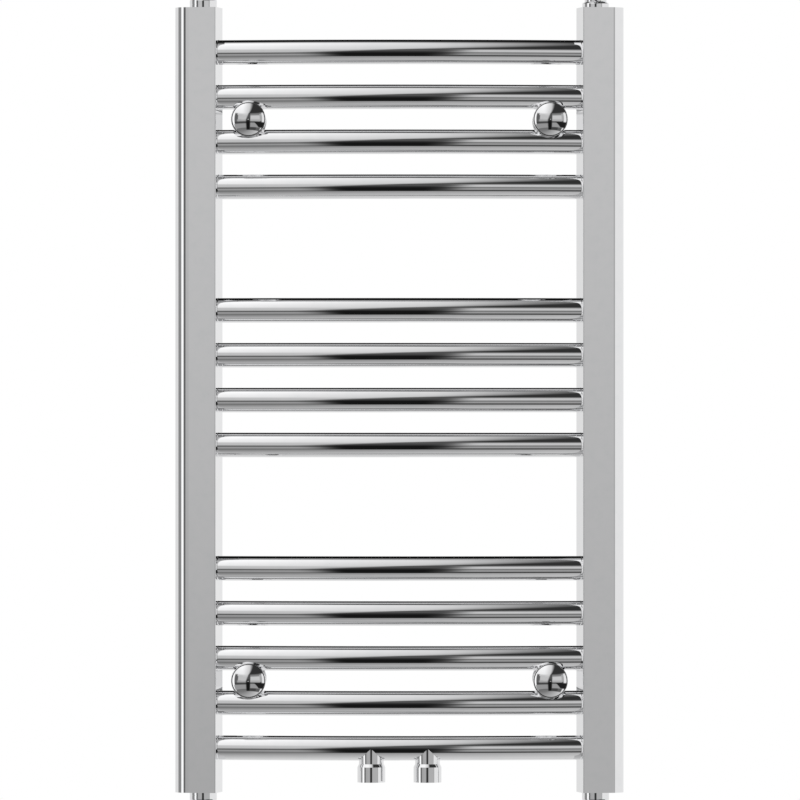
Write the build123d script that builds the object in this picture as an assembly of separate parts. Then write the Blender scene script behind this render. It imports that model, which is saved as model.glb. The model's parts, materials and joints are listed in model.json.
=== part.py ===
from build123d import *
from math import cos, degrees, radians, sin
import os

os.makedirs("parts", exist_ok=True)

# Ladder towel radiator with a bleed valve, in millimetres.
# +Z is up and +X is to the right as seen from the room, which lies towards -Y.
# The origin is on the wall, in the middle of the four wall sockets.
# The crossbars are bowed towards the room, and each collector is turned square to their ends.

# overall
overall_width = 400.0
collector_height = 700.0
bow_angle = 10.8  # degrees that each collector is turned outward
bracket_depth = 75.0  # crossbar axis to wall at the brackets, half drawn out

# collectors: D-shaped tube, the flat side to the crossbars and the round side outward
collector_width = 39.6
collector_side_room = 3.6  # flat side beyond a crossbar's weld, front and back
collector_wall = 1.5
collector_corner = 0.8  # outer radius of the two edges of the flat side
least_corner = 0.3

# crossbars, in groups from the top down
bar_diameter = 22.0
bar_wall = 1.2
bar_pitch = 40.0
bar_groups = (4, 4, 5)
end_margin = 40.0  # collector end to the nearest crossbar axis
bar_entry = 2.5  # length of crossbar inside the collector
weld_leg = 0.4
weld_root = 0.2  # depth of the bead into the crossbar
bar_hole_clearance = 0.05

# pipe thread, nominal 1/2 inch, drawn as plain cylinders
thread_bore_radius = 9.3155
thread_clearance = 0.035
thread_length = 10.0
thread_lead = 0.8  # chamfer at a shank's end

# connection sockets under the lowest crossbar
connection_spacing = 50.0
neck_height = 3.0  # round part of the neck under the crossbar
collar_wall = 3.08  # outside the thread's bore
collar_height = 13.5
chamfer_height = 2.8
socket_thread_length = 14.0
thread_shoulder = 1.3  # step from the thread's bore to the water way
saddle_clearance = 0.02

# end plates
end_plate_thickness = 4.0
end_plate_clearance = 0.05
boss_wall = 2.0
boss_clearance = 1.6  # boss to the collector's flat wall

# blind plugs
plug_rim = 0.71  # outside the seal
plug_height = 8.0
flange_height = 2.3
plug_groove = 0.35
plug_edge = 2.2
hex_across_flats = 10.0
hex_depth = 5.0
seal_height = 1.0
seal_width = 2.0
seal_clearance = 0.05

# bleed valve
vent_collar_rim = 0.43  # outside the seal
vent_collar_height = 4.4
vent_collar_edge = 1.2
vent_neck_radius = 7.5
vent_outlet_wall = 2.19
vent_outlet_height = 5.2
vent_outlet_edge = 1.0
vent_turn_clearance = 0.06
vent_outlet_gap = 0.1  # under and over the outlet
vent_snap_lip = 0.45
vent_snap_height = 0.8
vent_top_radius = 6.2
vent_top_height = 4.4
vent_top_edge = 0.5
key_recess_radius = 4.4
key_recess_depth = 4.2
vent_water_radius = 1.2
vent_port_radius = 0.8
vent_chamber_radius = 1.9
vent_chamber_height = 2.2
vent_channel_depth = 0.8
vent_channel_room = 0.8  # channel height over the nozzle's bore
nozzle_radius = 2.3
nozzle_bore = 1.1
nozzle_length = 4.5
bleed_thread_radius = 2.5
bleed_square = 5.0
bleed_square_height = 3.6
bleed_square_edge = 0.4
bleed_slot_width = 1.0
bleed_slot_depth = 1.2
bleed_tip_height = 1.2
bleed_tip_clearance = 0.3

# wall brackets
bracket_inset = 26.336  # end of a crossbar to the bracket axis
clamp_radius = 15.4
clamp_proud = 2.0  # front clamp's face in front of the crossbars
clamp_gap = 4.0  # between the front and rear clamp
clamp_clearance = 0.1  # around the crossbars
clamp_edge = 0.5
rear_clamp_radius = 14.0
rear_clamp_plate = 6.0
clamp_rim = 1.2  # front clamp outside the cap
cap_dome_radius = 25.0
cap_rim = 0.8
cap_wall = 1.0
cap_spigot_radius = 8.0
cap_spigot_length = 4.0
cap_clearance = 0.08
head_radius = 5.0
head_height = 4.0
head_edge = 0.4
head_hex = 4.0
head_hex_depth = 2.4
counterbore_depth = 6.0
screw_radius = 2.95
screw_clearance = 0.35
screw_tap_clearance = 0.05
screw_engagement = 13.0
tap_spare = 3.0
post_radius = 7.0
post_clearance = 0.06
post_edge = 0.8
post_shoulder_step = 3.0
post_shoulder = 3.0
post_travel = 8.0  # each way
post_travel_room = 7.0  # left between the shoulder and the wall socket when pushed right in
post_end_room = 9.0  # free room between the post and the wall socket's floor
wall_disc_radius = 15.0
wall_disc_thickness = 5.0
wall_disc_edge = 1.2
socket_barrel_wall = 3.44
wall_hole_radius = 2.75
countersink_radius = 5.0
grub_radius = 2.05
grub_length = 5.0
grub_clearance = 0.05
grub_gap = 0.1  # grub screw backed off the post
grub_inset = 10.0  # grub screw axis behind the barrel's mouth
grub_hex = 2.5
grub_hex_depth = 2.2

# places worked out from the driving dimensions
cut_over = 1.0  # how far a cutter reaches past what it cuts
half_width = overall_width / 2
half_height = collector_height / 2
bar_radius = bar_diameter / 2
collector_depth = bar_diameter + 2 * (weld_leg + collector_side_room)
round_centre = collector_width - collector_depth / 2
joint_x = half_width - collector_depth / 2 - round_centre * cos(radians(bow_angle))
bow_radius = joint_x / sin(radians(bow_angle))
bracket_x = joint_x - bracket_inset
bracket_z = half_height - end_margin - 1.5 * bar_pitch
bow_centre_y = (bow_radius**2 - bracket_x**2) ** 0.5 - bracket_depth
joint_y = bow_centre_y - bow_radius * cos(radians(bow_angle))
entry_angle = degrees(bar_entry / bow_radius)
hole_angle = degrees((bar_entry + cut_over) / bow_radius)
boss_radius = thread_bore_radius + boss_wall
plug_reach = collector_wall + boss_clearance + boss_radius
plug_x = joint_x + plug_reach * cos(radians(bow_angle))
plug_y = joint_y + plug_reach * sin(radians(bow_angle))
socket_x = connection_spacing / 2
socket_y = bow_centre_y - (bow_radius**2 - socket_x**2) ** 0.5
seal_inner = thread_bore_radius + seal_clearance
seal_outer = seal_inner + seal_width
shank_radius = thread_bore_radius - thread_clearance
water_way_radius = thread_bore_radius - thread_shoulder
chamfer_top = -bar_radius - neck_height  # heights from the crossbar's axis
chamfer_foot = chamfer_top - chamfer_height
socket_mouth = chamfer_foot - collar_height
FROM_BOTTOM = (Align.CENTER, Align.CENTER, Align.MIN)
FROM_TOP = (Align.CENTER, Align.CENTER, Align.MAX)


def bar_heights():
    """Heights of the crossbar axes from the top down; the groups share out the rest evenly."""
    steps = sum(count - 1 for count in bar_groups)
    rest = collector_height - 2 * end_margin - steps * bar_pitch
    group_gap = rest / (len(bar_groups) - 1)
    heights = []
    height = half_height - end_margin
    for count in bar_groups:
        heights += [height - i * bar_pitch for i in range(count)]
        height = heights[-1] - group_gap
    return heights


def disc(radius, low, high):
    """A cylinder about Z between two heights."""
    return Pos(0, 0, low) * Cylinder(radius, high - low, align=FROM_BOTTOM)


def ring(outer, inner, low, high):
    return disc(outer, low, high) - disc(inner, low, high)


def bowed_rod(radius, half_angle, height):
    """A round rod on a crossbar's bowed axis, reaching the same angle each way from the middle."""
    middle = Pos(0, -bow_radius, 0) * (Rot(0, 90, 0) * Circle(radius))
    rod = revolve(Rot(0, 0, -half_angle) * middle, Axis.Z, 2 * half_angle)
    return Pos(0, bow_centre_y, height) * rod


def at_joint(height):
    """Where a crossbar's axis meets the right collector, with X out along the crossbar."""
    return Pos(joint_x, joint_y, height) * Rot(0, 0, bow_angle)


def hex_hole(across_flats, depth, top):
    hexagon = RegularPolygon(across_flats / 2, 6, major_radius=False)
    return Pos(0, 0, top - depth) * extrude(hexagon, depth)


# --- collectors -----------------------------------------------------------------------------


def collector_section(inset):
    """Section of the right collector, drawn from its joint with the crossbars."""
    half = collector_depth / 2 - inset
    corner = max(collector_corner - inset, least_corner)
    nip = corner * (1 - 0.5**0.5)
    tip = round_centre + half
    front = Line((inset + corner, -half), (round_centre, -half))
    outer = ThreePointArc((round_centre, -half), (tip, 0), (round_centre, half))
    back = Line((round_centre, half), (inset + corner, half))
    back_corner = ThreePointArc(
        (inset + corner, half), (inset + nip, half - nip), (inset, half - corner)
    )
    inner = Line((inset, half - corner), (inset, corner - half))
    front_corner = ThreePointArc(
        (inset, corner - half), (inset + nip, nip - half), (inset + corner, -half)
    )
    return make_face([front, outer, back, back_corner, inner, front_corner])


def collector():
    """The right collector, with a hole for each crossbar in its flat wall."""
    section = collector_section(0) - collector_section(collector_wall)
    tube = at_joint(-half_height) * extrude(section, collector_height)
    for height in bar_heights():
        tube -= bowed_rod(bar_radius + bar_hole_clearance, bow_angle + hole_angle, height)
    return tube


def end_plate():
    """Plate and threaded boss at the top end of the right collector."""
    outline = collector_section(collector_wall + end_plate_clearance)
    plate = at_joint(half_height - end_plate_thickness) * extrude(outline, end_plate_thickness)
    boss = disc(boss_radius, half_height - thread_length, half_height)
    bore = disc(thread_bore_radius, half_height - thread_length, half_height)
    return plate + Pos(plug_x, plug_y, 0) * boss - Pos(plug_x, plug_y, 0) * bore


# --- crossbars and connections --------------------------------------------------------------


def weld(height):
    """Weld bead round a crossbar, against the right collector."""
    root = bar_radius - weld_root
    toe = bar_radius + weld_leg
    bead = Polyline((-weld_leg - weld_root, root), (0, toe), (0, root), close=True)
    return at_joint(height) * revolve(make_face(bead.edges()), Axis.X)


def crossbar(height):
    """Bowed tube, with a weld where it meets each collector."""
    right_weld = weld(height)
    bar = bowed_rod(bar_radius, bow_angle + entry_angle, height)
    bar -= bowed_rod(bar_radius - bar_wall, bow_angle + hole_angle, height)
    return bar + right_weld + mirror(right_weld, Plane.YZ)


def lowest_crossbar(height):
    """The lowest crossbar has a water way down into each connection socket."""
    bar = crossbar(height)
    for side in (-1, 1):
        water_way = Cylinder(water_way_radius, bar_diameter, align=FROM_TOP)
        bar -= Pos(side * socket_x, socket_y, height) * water_way
    return bar


def connection_socket(side, height):
    """Female socket, saddle-cut to the crossbar above it."""
    collar_radius = thread_bore_radius + collar_wall
    outline = Polyline(
        (0, socket_mouth),
        (collar_radius, socket_mouth),
        (collar_radius, chamfer_foot),
        (bar_radius, chamfer_top),
        (bar_radius, 0),
        (0, 0),
        close=True,
    )
    body = Rot(90, 0, 0) * make_face(outline.edges())
    body = revolve(body, Axis.Z)
    body -= disc(thread_bore_radius, socket_mouth, socket_mouth + socket_thread_length)
    body -= disc(water_way_radius, socket_mouth, 0)
    body = Pos(side * socket_x, socket_y, height) * body
    return body - bowed_rod(bar_radius + saddle_clearance, bow_angle, height)


def flow_divider(height):
    """Disc that closes the lowest crossbar between the two sockets."""
    radius = bar_radius - bar_wall - bar_hole_clearance
    return bowed_rod(radius, degrees(bar_wall / bow_radius), height)


# --- plugs and bleed valve, drawn about Z with the collector's end at height 0 ---------------


def seal_ring():
    return ring(seal_outer, seal_inner, 0, seal_height)


def threaded_shank():
    shank = Cylinder(shank_radius, thread_length, align=FROM_TOP)
    return chamfer(shank.edges().group_by(Axis.Z)[0], thread_lead)


def seal_seat():
    return ring(seal_outer + seal_clearance, shank_radius, 0, seal_height)


def blind_plug():
    plug_radius = seal_outer + plug_rim
    head = disc(plug_radius, 0, plug_height)
    head = fillet(head.edges().group_by(Axis.Z)[-1], plug_edge)
    groove_top = flange_height + plug_groove
    head -= ring(plug_radius + cut_over, plug_radius - plug_groove, flange_height, groove_top)
    return head + threaded_shank() - seal_seat() - hex_hole(hex_across_flats, hex_depth, plug_height)


vent_outlet_base = vent_collar_height + vent_outlet_gap
vent_snap_base = vent_outlet_base + vent_outlet_height + vent_outlet_gap
vent_top_base = vent_snap_base + vent_snap_height
vent_top = vent_top_base + vent_top_height
vent_recess_floor = vent_top - key_recess_depth
vent_port_height = vent_outlet_base + vent_outlet_height / 2
vent_seat_height = vent_port_height - vent_chamber_height / 2
vent_chamber_top = vent_seat_height + vent_chamber_height
vent_reach = vent_neck_radius + vent_snap_lip


def vent_body():
    """Body of the bleed valve: seat, thread for the bleed screw and a neck for the outlet."""
    collar = disc(seal_outer + vent_collar_rim, 0, vent_collar_height)
    collar = fillet(collar.edges().group_by(Axis.Z)[-1], vent_collar_edge)
    neck = disc(vent_neck_radius, vent_collar_height, vent_snap_base)
    snap_lip = disc(vent_reach, vent_snap_base, vent_top_base)
    top = disc(vent_top_radius, vent_top_base, vent_top)
    top = chamfer(top.edges().group_by(Axis.Z)[-1], vent_top_edge)
    body = collar + threaded_shank() - seal_seat() + neck + snap_lip + top
    body -= disc(vent_water_radius, -thread_length, vent_seat_height)
    body -= disc(vent_chamber_radius, vent_seat_height, vent_chamber_top)
    body -= disc(bleed_thread_radius + thread_clearance, vent_chamber_top, vent_recess_floor)
    body -= disc(key_recess_radius, vent_recess_floor, vent_top)
    port = Rot(0, 90, 0) * Cylinder(vent_port_radius, 2 * vent_reach)
    return body - Pos(0, 0, vent_port_height) * port


def vent_outlet():
    """Ring that turns on the neck, with a short nozzle for the escaping air and water."""
    inner = vent_neck_radius + vent_turn_clearance
    outer = inner + vent_outlet_wall
    body = disc(outer, vent_outlet_base, vent_outlet_base + vent_outlet_height)
    body = fillet(body.edges().group_by(Axis.Z)[0], vent_outlet_edge)
    body = chamfer(body.edges().group_by(Axis.Z)[-1], vent_outlet_edge / 2)
    nozzle = Cylinder(nozzle_radius, outer + nozzle_length, align=FROM_BOTTOM)
    nozzle = chamfer(nozzle.edges().group_by(Axis.Z)[-1], nozzle_bore / 2)
    body += Pos(0, 0, vent_port_height) * (Rot(90, 0, 0) * nozzle)
    body -= disc(inner, 0, vent_top)
    channel = 2 * nozzle_bore + vent_channel_room
    channel_low = vent_port_height - channel / 2
    body -= disc(inner + vent_channel_depth, channel_low, channel_low + channel)
    spout = Cylinder(nozzle_bore, 2 * (outer + nozzle_length), align=FROM_BOTTOM)
    return body - Pos(0, 0, vent_port_height) * (Rot(90, 0, 0) * spout)


def bleed_screw():
    """Screw with a cone that closes the seat and a square for the bleed key."""
    tip_radius = vent_chamber_radius - bleed_tip_clearance
    tip = Cone(vent_water_radius, tip_radius, bleed_tip_height, align=FROM_BOTTOM)
    screw = Pos(0, 0, vent_seat_height) * tip
    screw += disc(tip_radius, vent_seat_height + bleed_tip_height, vent_chamber_top)
    screw += disc(bleed_thread_radius, vent_chamber_top, vent_recess_floor)
    square = Box(bleed_square, bleed_square, bleed_square_height, align=FROM_BOTTOM)
    square = chamfer(square.edges().group_by(Axis.Z)[-1], bleed_square_edge)
    screw += Pos(0, 0, vent_recess_floor) * square
    slot_base = vent_recess_floor + bleed_square_height - bleed_slot_depth
    slot = Box(2 * bleed_square, bleed_slot_width, bleed_square_height, align=FROM_BOTTOM)
    return screw - Pos(0, 0, slot_base) * slot


# --- wall brackets, drawn with Z as the distance from the wall and Y up ----------------------

bar_front = bracket_depth + bar_radius
bar_back = bracket_depth - bar_radius
clamp_face = bar_front + clamp_proud
counterbore_floor = clamp_face - counterbore_depth
front_clamp_back = bracket_depth + clamp_gap / 2
rear_clamp_front = bracket_depth - clamp_gap / 2
rear_clamp_back = bar_back - rear_clamp_plate
screw_hole = screw_radius + screw_clearance
post_end = wall_disc_thickness + post_end_room
barrel_radius = post_radius + post_clearance + socket_barrel_wall
barrel_end = rear_clamp_back - post_shoulder - post_travel - post_travel_room
grub_distance = barrel_end - grub_inset
cap_radius = clamp_radius - clamp_rim
cap_spigot_outer = cap_spigot_radius - cap_clearance
cap_spigot_inner = cap_spigot_outer - cap_wall


def front_clamp():
    body = disc(clamp_radius, front_clamp_back, clamp_face)
    body = fillet(body.edges().group_by(Axis.Z)[-1], clamp_edge)
    body -= disc(cap_spigot_radius, counterbore_floor, clamp_face)
    return body - disc(screw_hole, front_clamp_back, clamp_face)


def dome_cap():
    """Domed cover over the screw head, pushed into the front clamp."""
    rim_top = clamp_face + cap_rim
    centre = rim_top - (cap_dome_radius**2 - cap_radius**2) ** 0.5
    dome = Pos(0, 0, centre) * Sphere(cap_dome_radius)
    hollow = Pos(0, 0, centre) * Sphere(cap_dome_radius - cap_wall)
    reach = centre + cap_dome_radius
    body = disc(cap_radius, clamp_face, reach) & dome
    body -= disc(cap_radius - cap_wall, clamp_face, reach) & hollow
    spigot = ring(cap_spigot_outer, cap_spigot_inner, clamp_face - cap_spigot_length, reach) & dome
    return body + spigot


def clamp_screw():
    head = disc(head_radius, counterbore_floor, counterbore_floor + head_height)
    head = chamfer(head.edges().group_by(Axis.Z)[-1], head_edge)
    head -= hex_hole(head_hex, head_hex_depth, counterbore_floor + head_height)
    return head + disc(screw_radius, rear_clamp_back - screw_engagement, counterbore_floor)


def rear_clamp():
    body = disc(rear_clamp_radius, rear_clamp_back, rear_clamp_front)
    body = chamfer(body.edges().group_by(Axis.Z)[0], clamp_edge)
    return body - disc(screw_hole, rear_clamp_back, rear_clamp_front)


def standoff_post():
    """Post that slides in the wall socket, tapped for the clamp screw."""
    body = disc(post_radius, post_end, rear_clamp_back)
    body = chamfer(body.edges().group_by(Axis.Z)[0], post_edge)
    shoulder_radius = post_radius + post_shoulder_step
    body += disc(shoulder_radius, rear_clamp_back - post_shoulder, rear_clamp_back)
    tap_end = rear_clamp_back - screw_engagement - tap_spare
    return body - disc(screw_radius + screw_tap_clearance, tap_end, rear_clamp_back)


def wall_socket():
    base = disc(wall_disc_radius, 0, wall_disc_thickness)
    base = fillet(base.edges().group_by(Axis.Z)[-1], wall_disc_edge)
    body = base + disc(barrel_radius, wall_disc_thickness, barrel_end)
    body -= disc(post_radius + post_clearance, wall_disc_thickness, barrel_end)
    body -= disc(wall_hole_radius, 0, wall_disc_thickness)
    sink = countersink_radius - wall_hole_radius
    countersink = Cone(wall_hole_radius, countersink_radius, sink, align=FROM_BOTTOM)
    body -= Pos(0, 0, wall_disc_thickness - sink) * countersink
    tapped = Rot(90, 0, 0) * Cylinder(
        grub_radius + grub_clearance, 2 * barrel_radius, align=FROM_BOTTOM
    )
    return body - Pos(0, 0, grub_distance) * tapped


def grub_screw():
    """Locks the post; it enters the wall socket from below."""
    tip = post_radius + grub_gap
    screw = disc(grub_radius, tip, tip + grub_length)
    screw -= hex_hole(grub_hex, grub_hex_depth, tip + grub_length)
    return Pos(0, 0, grub_distance) * (Rot(90, 0, 0) * screw)


# --- writing the parts ----------------------------------------------------------------------


def at_bracket(side, level):
    """Bracket place: side -1 left or 1 right, level 1 upper or -1 lower."""
    wall = Plane(origin=(side * bracket_x, 0, level * bracket_z), x_dir=(1, 0, 0), z_dir=(0, -1, 0))
    return wall.location


def neighbour_bars(level):
    """The two crossbars that the brackets of one level clamp, as cutters."""
    middle = level * bracket_z
    cutter_radius = bar_radius + clamp_clearance
    upper = bowed_rod(cutter_radius, bow_angle, middle + bar_pitch / 2)
    lower = bowed_rod(cutter_radius, bow_angle, middle - bar_pitch / 2)
    return upper + lower


def at_end(side, level):
    """Middle of a collector's end face, with Z pointing out of the collector."""
    place = Pos(side * plug_x, plug_y, level * half_height)
    return place if level > 0 else place * Rot(180, 0, 0)


bracket_places = {
    "upper_left": at_bracket(-1, 1),
    "upper_right": at_bracket(1, 1),
    "lower_left": at_bracket(-1, -1),
    "lower_right": at_bracket(1, -1),
}
end_places = {
    "top_left": at_end(-1, 1),
    "bottom_left": at_end(-1, -1),
    "bottom_right": at_end(1, -1),
    "top_right": at_end(1, 1),
}

right_collector = collector()
export_step(right_collector, "parts/collector_right.step")
export_step(mirror(right_collector, Plane.YZ), "parts/collector_left.step")

top_right_plate = end_plate()
bottom_right_plate = mirror(top_right_plate, Plane.XY)
export_step(top_right_plate, "parts/end_plate_top_right.step")
export_step(bottom_right_plate, "parts/end_plate_bottom_right.step")
export_step(mirror(top_right_plate, Plane.YZ), "parts/end_plate_top_left.step")
export_step(mirror(bottom_right_plate, Plane.YZ), "parts/end_plate_bottom_left.step")

levels = bar_heights()
for number, level in enumerate(levels[:-1], start=1):
    export_step(crossbar(level), f"parts/crossbar_{number:02d}.step")
export_step(lowest_crossbar(levels[-1]), f"parts/crossbar_{len(levels):02d}.step")
export_step(connection_socket(-1, levels[-1]), "parts/connection_socket_left.step")
export_step(connection_socket(1, levels[-1]), "parts/connection_socket_right.step")
export_step(flow_divider(levels[-1]), "parts/flow_divider.step")

plug = blind_plug()
for name, place in end_places.items():
    export_step(place * seal_ring(), f"parts/seal_ring_{name}.step")
    if name != "top_right":
        export_step(place * plug, f"parts/blind_plug_{name}.step")
export_step(end_places["top_right"] * vent_body(), "parts/vent_body.step")
export_step(end_places["top_right"] * vent_outlet(), "parts/vent_outlet.step")
export_step(end_places["top_right"] * bleed_screw(), "parts/bleed_screw.step")

bracket_pieces = {
    "front_clamp": front_clamp(),
    "dome_cap": dome_cap(),
    "rear_clamp": rear_clamp(),
    "standoff_post": standoff_post(),
    "wall_socket": wall_socket(),
}
clamped_bars = {"upper": neighbour_bars(1), "lower": neighbour_bars(-1)}
for piece_name, piece in bracket_pieces.items():
    for place_name, place in bracket_places.items():
        placed = place * piece
        if "clamp" in piece_name:
            placed -= clamped_bars[place_name.split("_")[0]]
        export_step(placed, f"parts/{piece_name}_{place_name}.step")
clamp_screws = Compound([place * clamp_screw() for place in bracket_places.values()])
grub_screws = Compound([place * grub_screw() for place in bracket_places.values()])
export_step(clamp_screws, "parts/clamp_screws.step")
export_step(grub_screws, "parts/grub_screws.step")
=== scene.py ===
import json
import math

import bmesh
import bpy
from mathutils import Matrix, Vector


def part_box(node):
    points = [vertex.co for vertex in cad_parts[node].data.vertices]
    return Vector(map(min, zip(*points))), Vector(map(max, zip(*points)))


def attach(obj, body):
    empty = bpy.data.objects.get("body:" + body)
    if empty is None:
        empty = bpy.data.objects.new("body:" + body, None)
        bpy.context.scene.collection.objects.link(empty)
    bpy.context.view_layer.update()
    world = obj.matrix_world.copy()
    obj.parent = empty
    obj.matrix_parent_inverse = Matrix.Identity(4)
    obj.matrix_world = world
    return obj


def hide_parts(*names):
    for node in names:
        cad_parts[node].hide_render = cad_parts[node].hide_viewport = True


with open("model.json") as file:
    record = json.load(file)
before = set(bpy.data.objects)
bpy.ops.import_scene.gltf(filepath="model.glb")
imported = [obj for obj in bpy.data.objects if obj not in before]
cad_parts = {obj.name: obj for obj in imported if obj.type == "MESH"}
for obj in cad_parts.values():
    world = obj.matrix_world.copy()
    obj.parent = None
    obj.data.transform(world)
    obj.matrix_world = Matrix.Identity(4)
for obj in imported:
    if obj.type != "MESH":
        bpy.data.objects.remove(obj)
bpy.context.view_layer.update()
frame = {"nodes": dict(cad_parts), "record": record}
nodes = frame["nodes"]
print("frame loaded,", len(nodes), "pieces")


def linearChannel(share):
    return share / 12.92 if share <= 0.04045 else ((share + 0.055) / 1.055) ** 2.4


def linearFromHex(hexCode):
    # shaders take linear colour
    return tuple(linearChannel(int(hexCode[i:i + 2], 16) / 255) for i in (1, 3, 5)) + (1.0,)


def addNode(tree, kind, inputs=None, **settings):
    node = tree.nodes.new(kind)
    for name, value in settings.items():
        setattr(node, name, value)
    for name, value in (inputs or {}).items():
        if isinstance(value, bpy.types.NodeSocket):
            tree.links.new(value, node.inputs[name])
        else:
            node.inputs[name].default_value = value
    return node


def setRamp(node, stops):
    ramp = node.color_ramp
    while len(ramp.elements) > 1:
        ramp.elements.remove(ramp.elements[-1])
    for number, (place, colour) in enumerate(stops):
        stop = ramp.elements[0] if number == 0 else ramp.elements.new(place)
        stop.position = place
        stop.color = colour


# camera: a long lens some metres off, level with the middle of the radiator
cameraSettings = {
    "distance": 8.0,  # m in front of the crossbars
    "barsAt": -0.085,  # y of the crossbars
    "frameWidth": 0.7123,  # m seen across at that distance
    "sensor": 36.0,
    "aside": 0.0005,
    "farthest": 60.0,
}
cameraData = bpy.data.cameras.new("camera")
cameraData.sensor_width = cameraSettings["sensor"]
cameraData.lens = cameraSettings["sensor"] * cameraSettings["distance"] / cameraSettings["frameWidth"]
cameraData.clip_end = cameraSettings["farthest"]
cameraObject = bpy.data.objects.new("camera", cameraData)
cameraObject.location = (cameraSettings["aside"], cameraSettings["barsAt"] - cameraSettings["distance"], 0.0)
cameraObject.rotation_euler = (math.radians(90), 0, 0)
bpy.context.scene.collection.objects.link(cameraObject)
bpy.context.scene.camera = cameraObject
bpy.context.scene.view_settings.view_transform = "Standard"
print("camera set")


# studio: a bright room with a tall window wall in front of the radiator, as the chrome sees it.
# Panels are rectangles in degrees: left of straight ahead, and above level, each laid over those
# before it. A lean moves both side edges by so many degrees for each degree above level.
studio = {
    "strength": 1.15,
    "walls": "#DADADA",
    "darkCeiling": "#303030",
    "darkBehind": "#0A0A0A",
    "ceilingFrom": 24.0,  # degrees above level
    "ceilingSoftness": 7.0,
    "nearLevel": 0.05,  # least height or depth that the floor and ceiling are divided by
    "panels": [
        # name, right edge, left edge, foot, top, grey, softness, lean
        ("light wall on the right", -190, -50, -60, 40, "#E2E2E2", 6, 0),
        ("grey door on the left", 79, 108, -60, 27, "#868686", 3, 0),
        ("strip window on the left", 61, 78, -60, 27, "#FCFCFC", 4, 0),
        ("window wall", -57, 60, -46, 25, "#5C5C5C", 5, 0),
        ("window wall right edge", -57, -47, -5, 22, "#A6A6A6", 4, 0),
        ("left lintel", 9, 48, 17, 27, "#CBCBCB", 4, 0),
        ("left upper pane", 9, 44, -7, 20, "#BFBFBF", 5, 0),
        ("left pane foot", 9, 48, -9, 0.5, "#A2A2A2", 8, 0),
        ("right upper pane", -48, -7, -7, 21, "#C5C5C5", 5, 0),
        ("right lintel", -48, -6, 16, 27, "#808080", 5, 0),
        ("right pane foot", -48, -7, -9, 0.5, "#ABABAB", 8, 0),
        ("cross rail", -50, 60, -15, -7.5, "#464646", 4, 0),
        ("left lower pane", 9, 64, -34, -16, "#949494", 4, 0),
        ("left sill", 9, 64, -47, -36, "#747474", 8, 0),
        ("right lower pane", -60, -7, -31, -13, "#969696", 4, 0),
        ("dark corner", -70, -10.5, -30, -9, "#1E1E1E", 5, 1.2),
        ("right sill", -36, -7, -43, -32, "#404040", 5, 0),
        ("pillar foot", -6.4, 10.3, -43, -4, "#161616", 7, 0),
        ("pillar", -6.4, 10.3, -6, 25, "#303030", 8, 0),
        ("pillar top", -6.4, 10.3, 5, 27, "#505050", 9, 0),
        ("pane beside the pillar", 10.3, 30, 0, 19, "#BFBFBF", 8, -0.385),
        ("lintel beside the pillar", 10.3, 30, 17, 27, "#CBCBCB", 7, -0.385),
    ],
    # the floor, in multiples of its depth below: darker ahead and to the left
    "floor": {"from": -45, "softness": 6, "middle": "#BDBDBD", "darkening": 0.25, "aheadShare": 0.94,
              "least": 0.2, "most": 0.6},
    # the bright part of the ceiling, as multiples of its height above the radiator
    "brightCeiling": {
        "right": -0.13, "curve": (0.2, -0.115), "sideSoftness": 0.3,  # edge on the right, bent outward
        "back": -0.124, "backSoftness": 0.55,
        "grey": "#C5C5C5", "leftGrey": "#F5F5F5", "greyTurn": 0.13, "greySoftness": 0.65,  # lighter leftward
        "zenithGain": 0.0045, "zenithFrom": 40.0,  # lighter by this share for each degree above
        "darkTurn": -0.3, "darkSoftness": 0.8,  # where the dark part turns darker behind
    },
}

world = bpy.data.worlds.new("studio room")
bpy.context.scene.world = world
world.use_nodes = True
room = world.node_tree
room.nodes.clear()


def roomMath(operation, *values):
    return addNode(room, "ShaderNodeMath", dict(enumerate(values)), operation=operation).outputs[0]


def softStep(value, edge, soft):
    # 0 below the edge and 1 above it, smooth across the soft width
    limits = {"Value": value, "From Min": edge - soft / 2, "From Max": edge + soft / 2}
    return addNode(room, "ShaderNodeMapRange", limits, interpolation_type="SMOOTHSTEP").outputs["Result"]


def between(value, low, high, soft):
    return roomMath("SUBTRACT", softStep(value, low, soft), softStep(value, high, soft))


def layOver(under, grey, mask):
    # a grey, or a socket's grey, over what is under it where the mask is 1
    return roomMath("MULTIPLY_ADD", roomMath("SUBTRACT", grey, under), mask, under)


looking = addNode(room, "ShaderNodeTexCoord").outputs["Generated"]
parts = addNode(room, "ShaderNodeSeparateXYZ", {"Vector": looking}).outputs
toLeft = roomMath("MULTIPLY", parts["X"], -1.0)
ahead = roomMath("MULTIPLY", parts["Y"], -1.0)
leftAngle = roomMath("MULTIPLY", roomMath("ARCTAN2", toLeft, ahead), 180 / math.pi)
upAngle = roomMath("MULTIPLY", roomMath("ARCSINE", parts["Z"]), 180 / math.pi)

grey = linearFromHex(studio["walls"])[0]
for name, rightEdge, leftEdge, foot, top, colour, soft, lean in studio["panels"]:
    side = leftAngle
    if lean:
        side = roomMath("MULTIPLY_ADD", upAngle, -lean, leftAngle)
    across = between(side, rightEdge, leftEdge, soft)
    mask = roomMath("MULTIPLY", across, between(upAngle, foot, top, soft))
    grey = layOver(grey, linearFromHex(colour)[0], mask)

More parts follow.
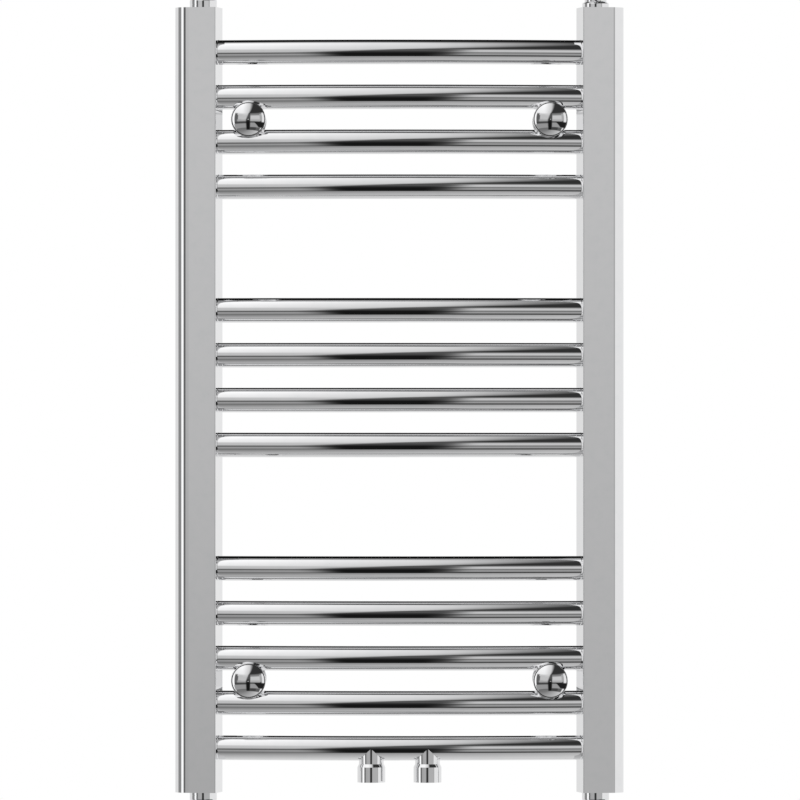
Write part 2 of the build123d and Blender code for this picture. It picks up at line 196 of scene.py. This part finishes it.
ground = studio["floor"]
depth = roomMath("MAXIMUM", roomMath("MULTIPLY", parts["Z"], -1.0), studio["nearLevel"])
floorSide = roomMath("ADD", toLeft, roomMath("MULTIPLY", ahead, ground["aheadShare"]))
floorGrey = roomMath("MULTIPLY_ADD", roomMath("DIVIDE", floorSide, depth), -ground["darkening"],
                     linearFromHex(ground["middle"])[0])
floorGrey = roomMath("MINIMUM", roomMath("MAXIMUM", floorGrey, ground["least"]), ground["most"])
below = roomMath("SUBTRACT", 1.0, softStep(upAngle, ground["from"], ground["softness"]))
grey = layOver(grey, floorGrey, below)

bright = studio["brightCeiling"]
height = roomMath("MAXIMUM", parts["Z"], studio["nearLevel"])
ceilingLeft = roomMath("DIVIDE", toLeft, height)
ceilingAhead = roomMath("DIVIDE", ahead, height)
straightBend, squareBend = bright["curve"]
bend = roomMath("MULTIPLY_ADD", ceilingAhead, squareBend, straightBend)
fromEdge = roomMath("ADD", ceilingLeft, roomMath("MULTIPLY", ceilingAhead, bend))
panelMask = roomMath("MULTIPLY", softStep(fromEdge, bright["right"], bright["sideSoftness"]),
                     softStep(ceilingAhead, bright["back"], bright["backSoftness"]))
aheadAndUp = roomMath("MAXIMUM", roomMath("MULTIPLY_ADD", parts["Z"], 0.5, ahead), studio["nearLevel"])
shade = layOver(linearFromHex(bright["grey"])[0], linearFromHex(bright["leftGrey"])[0],
                softStep(roomMath("DIVIDE", toLeft, aheadAndUp), bright["greyTurn"], bright["greySoftness"]))
aboveStart = roomMath("SUBTRACT", upAngle, bright["zenithFrom"])
zenith = roomMath("MULTIPLY_ADD", aboveStart, bright["zenithGain"], 1.0)
darkPart = layOver(linearFromHex(studio["darkBehind"])[0], linearFromHex(studio["darkCeiling"])[0],
                   softStep(ceilingAhead, bright["darkTurn"], bright["darkSoftness"]))
ceiling = layOver(darkPart, roomMath("MULTIPLY", shade, zenith), panelMask)
grey = layOver(grey, ceiling, softStep(upAngle, studio["ceilingFrom"], studio["ceilingSoftness"]))

seenByChrome = addNode(room, "ShaderNodeBackground", {"Color": grey, "Strength": studio["strength"]})
plainWhite = addNode(room, "ShaderNodeBackground", {"Color": (1, 1, 1, 1), "Strength": 1.0})
straightOn = addNode(room, "ShaderNodeLightPath").outputs["Is Camera Ray"]
both = addNode(room, "ShaderNodeMixShader", {
    0: straightOn, 1: seenByChrome.outputs[0], 2: plainWhite.outputs[0]})
addNode(room, "ShaderNodeOutputWorld", {"Surface": both.outputs[0]})
print("studio room painted")


# floor: pale and matt, under the radiator; from below it lets the view through
floorSettings = {"height": -0.46, "back": -0.05, "radius": 1.1, "sides": 96, "colour": "#F4F4F2"}
floorMesh = bpy.data.meshes.new("floor")
rim = []
for i in range(floorSettings["sides"]):
    turn = 2 * math.pi * i / floorSettings["sides"]
    rim.append((floorSettings["radius"] * math.cos(turn), floorSettings["radius"] * math.sin(turn), 0))
floorMesh.from_pydata(rim, [], [list(range(len(rim)))])
floorObject = bpy.data.objects.new("floor", floorMesh)
floorObject.location = (0, floorSettings["back"], floorSettings["height"])
floorObject.visible_glossy = False
bpy.context.scene.collection.objects.link(floorObject)
floorMaterial = bpy.data.materials.new("pale studio floor")
floorMaterial.use_nodes = True
tree = floorMaterial.node_tree
tree.nodes.clear()
paint = addNode(tree, "ShaderNodeBsdfDiffuse", {"Color": linearFromHex(floorSettings["colour"])})
clear = addNode(tree, "ShaderNodeBsdfTransparent")
under = addNode(tree, "ShaderNodeNewGeometry").outputs["Backfacing"]
mixed = addNode(tree, "ShaderNodeMixShader", {0: under, 1: paint.outputs[0], 2: clear.outputs[0]})
addNode(tree, "ShaderNodeOutputMaterial", {"Surface": mixed.outputs[0]})
floorMesh.materials.append(floorMaterial)

# one big soft light overhead, for the floor and the rubber; the chrome keeps to the room
softLight = {"place": (-0.4, -0.6, 2.5), "size": 3.0, "watts": 60.0}
lightData = bpy.data.lights.new("soft light", "AREA")
lightData.size = softLight["size"]
lightData.energy = softLight["watts"]
lightObject = bpy.data.objects.new("soft light", lightData)
lightObject.location = softLight["place"]
lightObject.visible_glossy = False
lightObject.visible_camera = False
bpy.context.scene.collection.objects.link(lightObject)
print("floor and soft light made")


def startMaterial(name):
    material = bpy.data.materials.new(name)
    material.use_nodes = True
    material.node_tree.nodes.clear()
    return material, material.node_tree


def objectPoint(tree, scale):
    # object coordinates times a scale, so one unit of a pattern is 1 / scale metres
    point = addNode(tree, "ShaderNodeTexCoord").outputs["Object"]
    return addNode(tree, "ShaderNodeMapping", {"Vector": point, "Scale": scale}).outputs["Vector"]


def finishMaterial(tree, inputs, bump=None):
    if bump:
        inputs = {**inputs, "Normal": bump}
    shader = addNode(tree, "ShaderNodeBsdfPrincipled", inputs)
    addNode(tree, "ShaderNodeOutputMaterial", {"Surface": shader.outputs[0]})


# chrome plate: bright nickel and chromium over polished metal, a clean mirror with a slight
# haze where it has been wiped, and the faint ripple of the polished metal under it
chrome = {
    "plate": "#EFEFF0",
    "worn": "#EBECED",
    "roughness": (0.01, 0.03),
    "hazePatch": 45.0,  # mm
    "ripple": 6.0,  # mm between waves of the polished tube
    "rippleHeight": 0.0002,  # mm
}


def chromePlate(name, settings):
    material, tree = startMaterial(name)
    haze = addNode(tree, "ShaderNodeTexNoise", {
        "Vector": objectPoint(tree, (1000 / settings["hazePatch"],) * 3),
        "Detail": 4.0, "Roughness": 0.55})
    low, high = settings["roughness"]
    rough = addNode(tree, "ShaderNodeMapRange", {
        "Value": haze.outputs["Fac"], "From Min": 0.35, "From Max": 0.75, "To Min": low, "To Max": high})
    tint = addNode(tree, "ShaderNodeValToRGB", {"Fac": haze.outputs["Fac"]})
    setRamp(tint, [(0.45, linearFromHex(settings["plate"])), (0.8, linearFromHex(settings["worn"]))])
    wave = addNode(tree, "ShaderNodeTexNoise", {
        "Vector": objectPoint(tree, (1000 / settings["ripple"],) * 3), "Detail": 1.0})
    bump = addNode(tree, "ShaderNodeBump", {
        "Height": wave.outputs["Fac"], "Strength": 1.0, "Distance": settings["rippleHeight"] / 1000})
    finishMaterial(tree, {"Base Color": tint.outputs["Color"], "Metallic": 1.0,
                          "Roughness": rough.outputs["Result"]}, bump.outputs["Normal"])
    return material


chromeSteel = chromePlate("chrome plated steel tube", chrome)
chromeBrass = chromePlate("chrome plated turned brass", {**chrome, "ripple": 3.0})
chromeZinc = chromePlate("chrome plated cast zinc", {**chrome, "ripple": 4.0})
print("chrome made")


# bright zinc plating on small screws: bluish grey, satin, slightly mottled
zinc = {"light": "#C2C6CB", "dark": "#9DA3AA", "roughness": (0.28, 0.42), "mottle": 1.2}  # mottle in mm


def zincPlate():
    material, tree = startMaterial("bright zinc plated steel")
    mottle = addNode(tree, "ShaderNodeTexVoronoi", {
        "Vector": objectPoint(tree, (1000 / zinc["mottle"],) * 3)})
    tint = addNode(tree, "ShaderNodeValToRGB", {"Fac": mottle.outputs["Distance"]})
    setRamp(tint, [(0.1, linearFromHex(zinc["dark"])), (0.7, linearFromHex(zinc["light"]))])
    low, high = zinc["roughness"]
    rough = addNode(tree, "ShaderNodeMapRange", {
        "Value": mottle.outputs["Distance"], "To Min": low, "To Max": high})
    finishMaterial(tree, {"Base Color": tint.outputs["Color"], "Metallic": 1.0,
                          "Roughness": rough.outputs["Result"]})
    return material


# bare drawn steel of the divider inside the tube: dull grey with a little rust bloom
drawnSteel = {"clean": "#8C8A86", "bloom": "#6E5A4A", "patch": 5.0, "roughness": 0.5, "pitting": 0.03}


def bareSteel():
    material, tree = startMaterial("bare drawn steel")
    patch = addNode(tree, "ShaderNodeTexNoise", {
        "Vector": objectPoint(tree, (1000 / drawnSteel["patch"],) * 3), "Detail": 6.0})
    tint = addNode(tree, "ShaderNodeValToRGB", {"Fac": patch.outputs["Fac"]})
    setRamp(tint, [(0.5, linearFromHex(drawnSteel["clean"])),
                   (0.75, linearFromHex(drawnSteel["bloom"]))])
    bump = addNode(tree, "ShaderNodeBump", {"Height": patch.outputs["Fac"], "Distance": drawnSteel["pitting"] / 1000})
    finishMaterial(tree, {"Base Color": tint.outputs["Color"], "Metallic": 1.0,
                          "Roughness": drawnSteel["roughness"]}, bump.outputs["Normal"])
    return material


# turned brass of the bleed screw: warm yellow with fine tool rings about its axis
brass = {"bright": "#D9B36C", "dull": "#B98F4C", "ring": 0.25, "roughness": (0.16, 0.3), "ringDepth": 0.01}


def turnedBrass(middle):
    material, tree = startMaterial("turned brass")
    point = addNode(tree, "ShaderNodeTexCoord").outputs["Object"]
    fromAxis = addNode(tree, "ShaderNodeMapping", {
        "Vector": point, "Location": (-middle[0], -middle[1], 0.0)})
    rings = addNode(tree, "ShaderNodeTexWave", {
        "Vector": fromAxis.outputs["Vector"], "Scale": 1000 / brass["ring"] / 20, "Distortion": 0.4},
        wave_type="RINGS", rings_direction="Z")
    tint = addNode(tree, "ShaderNodeValToRGB", {"Fac": rings.outputs["Fac"]})
    setRamp(tint, [(0.2, linearFromHex(brass["dull"])), (0.8, linearFromHex(brass["bright"]))])
    low, high = brass["roughness"]
    rough = addNode(tree, "ShaderNodeMapRange", {
        "Value": rings.outputs["Fac"], "To Min": low, "To Max": high})
    bump = addNode(tree, "ShaderNodeBump", {
        "Height": rings.outputs["Fac"], "Distance": brass["ringDepth"] / 1000})
    finishMaterial(tree, {"Base Color": tint.outputs["Color"], "Metallic": 1.0,
                          "Roughness": rough.outputs["Result"]}, bump.outputs["Normal"])
    return material


# moulded EPDM rubber of the flat seals: near black, matt, finely grained
rubber = {"colour": "#1B1B1C", "dusty": "#2A2A2B", "grain": 0.6, "roughness": 0.62, "grainDepth": 0.02}


def mouldedRubber():
    material, tree = startMaterial("moulded black rubber")
    grain = addNode(tree, "ShaderNodeTexNoise", {
        "Vector": objectPoint(tree, (1000 / rubber["grain"],) * 3), "Detail": 3.0})
    tint = addNode(tree, "ShaderNodeValToRGB", {"Fac": grain.outputs["Fac"]})
    setRamp(tint, [(0.4, linearFromHex(rubber["colour"])), (0.7, linearFromHex(rubber["dusty"]))])
    bump = addNode(tree, "ShaderNodeBump", {
        "Height": grain.outputs["Fac"], "Distance": rubber["grainDepth"] / 1000})
    finishMaterial(tree, {"Base Color": tint.outputs["Color"], "Roughness": rubber["roughness"]},
                   bump.outputs["Normal"])
    return material


zincSteel = zincPlate()
plainSteel = bareSteel()
screwLow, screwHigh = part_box("bleed_screw")
screwBrass = turnedBrass((screwLow + screwHigh) / 2)
sealRubber = mouldedRubber()
print("small metals and rubber made")


# which finish each CAD piece takes, by the record's material slots
finishes = {
    "chrome_plate": chromeSteel,
    "chrome_brass": chromeBrass,
    "chrome_zinc": chromeZinc,
    "zinc_plated_steel": zincSteel,
    "plain_steel": plainSteel,
    "bare_brass": screwBrass,
    "seal_rubber": sealRubber,
}
for subpart in frame["record"]["subparts"]:
    mesh = nodes[subpart["node"]].data
    mesh.materials.clear()
    mesh.materials.append(finishes[subpart["material_slot"]])


# crossbars: the CAD tubes drawn again with finer sides, so that reflections run along them
# unbroken; lengths in metres
tube = {
    "radius": 0.011,
    "wall": 0.0012,
    "entry": 0.0025,  # length inside each collector
    "weldLeg": 0.0004,
    "around": 144,
    "along": 96,
    "waterWay": 0.0080155,  # radius of the hole into each connection socket
    "waterWaySides": 64,
    "sharpFrom": 30,  # degrees
}
bowSearch = {"least": 0.3, "most": 3.0, "exact": 1e-7}


def bowOf(low, high):
    # radius of the bow and half of its angle, from the box of one crossbar
    depth, reach = high[1] - low[1], high[0]
    least, most = bowSearch["least"], bowSearch["most"]
    while most - least > bowSearch["exact"]:
        bow = (least + most) / 2
        turn = math.asin(reach / (bow + tube["radius"]))
        if bow + tube["radius"] - (bow - tube["radius"]) * math.cos(turn) > depth:
            least = bow
        else:
            most = bow
    return bow, turn


def tubeMesh(name, low, high):
    bow, turn = bowOf(low, high)
    bowCentre, level = low[1] + bow + tube["radius"], (low[2] + high[2]) / 2
    joint = turn - tube["entry"] / bow
    beadFoot = joint - tube["weldLeg"] / bow
    toe = tube["radius"] + tube["weldLeg"]
    outside = [(turn, tube["radius"]), (joint, tube["radius"]), (joint, toe)]
    body = [(beadFoot * (1 - 2 * i / tube["along"]), tube["radius"]) for i in range(tube["along"] + 1)]
    outside += body + [(-angle, radius) for angle, radius in reversed(outside)]
    bore = tube["radius"] - tube["wall"]
    inside = [(-turn + 2 * turn * i / tube["along"], bore) for i in range(tube["along"] + 1)]
    corners, faces = [], []
    for angle, radius in outside + inside:
        for i in range(tube["around"]):
            around = 2 * math.pi * i / tube["around"]
            out = bow + radius * math.cos(around)
            corners.append((out * math.sin(angle), bowCentre - out * math.cos(angle),
                            level + radius * math.sin(around)))
    rings = len(outside) + len(inside)
    for ring in range(rings):
        for i in range(tube["around"]):
            a, b = ring * tube["around"], (ring + 1) % rings * tube["around"]
            j = (i + 1) % tube["around"]
            faces.append((a + i, a + j, b + j, b + i))
    mesh = bpy.data.meshes.new(name)
    mesh.from_pydata(corners, [], faces)
    return mesh


def cutWaterWays(piece, sockets):
    # the lowest crossbar opens downward into each connection socket
    for socket in sockets:
        low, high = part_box(socket)
        cutter = bmesh.new()
        bmesh.ops.create_cone(cutter, cap_ends=True, segments=tube["waterWaySides"], depth=tube["radius"],
                              radius1=tube["waterWay"], radius2=tube["waterWay"])
        pieceLow = min(corner[2] for corner in piece.bound_box)
        place = ((low[0] + high[0]) / 2, (low[1] + high[1]) / 2, pieceLow + tube["radius"] * 0.45)
        bmesh.ops.translate(cutter, verts=cutter.verts, vec=place)
        cutterMesh = bpy.data.meshes.new("water way")
        cutter.to_mesh(cutterMesh)
        cutter.free()
        cutterObject = bpy.data.objects.new("water way", cutterMesh)
        bpy.context.scene.collection.objects.link(cutterObject)
        cut = piece.modifiers.new("water way", "BOOLEAN")
        cut.operation = "DIFFERENCE"
        cut.object = cutterObject
        cutPiece = piece.evaluated_get(bpy.context.evaluated_depsgraph_get())
        opened = bpy.data.meshes.new_from_object(cutPiece)
        piece.modifiers.clear()
        piece.data = opened
        bpy.data.objects.remove(cutterObject)


bars = sorted(name for name in nodes if name.startswith("crossbar_"))
for bar in bars:
    low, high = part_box(bar)
    piece = bpy.data.objects.new(bar + "_tube", tubeMesh(bar + "_tube", low, high))
    bpy.context.scene.collection.objects.link(piece)
    if bar == bars[-1]:
        cutWaterWays(piece, ["connection_socket_left", "connection_socket_right"])
    piece.data.materials.clear()
    piece.data.materials.append(chromeSteel)
    piece.data.shade_smooth()
    piece.data.set_sharp_from_angle(angle=math.radians(tube["sharpFrom"]))
    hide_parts(bar)
    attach(piece, "radiator")
print(len(bars), "crossbars drawn")
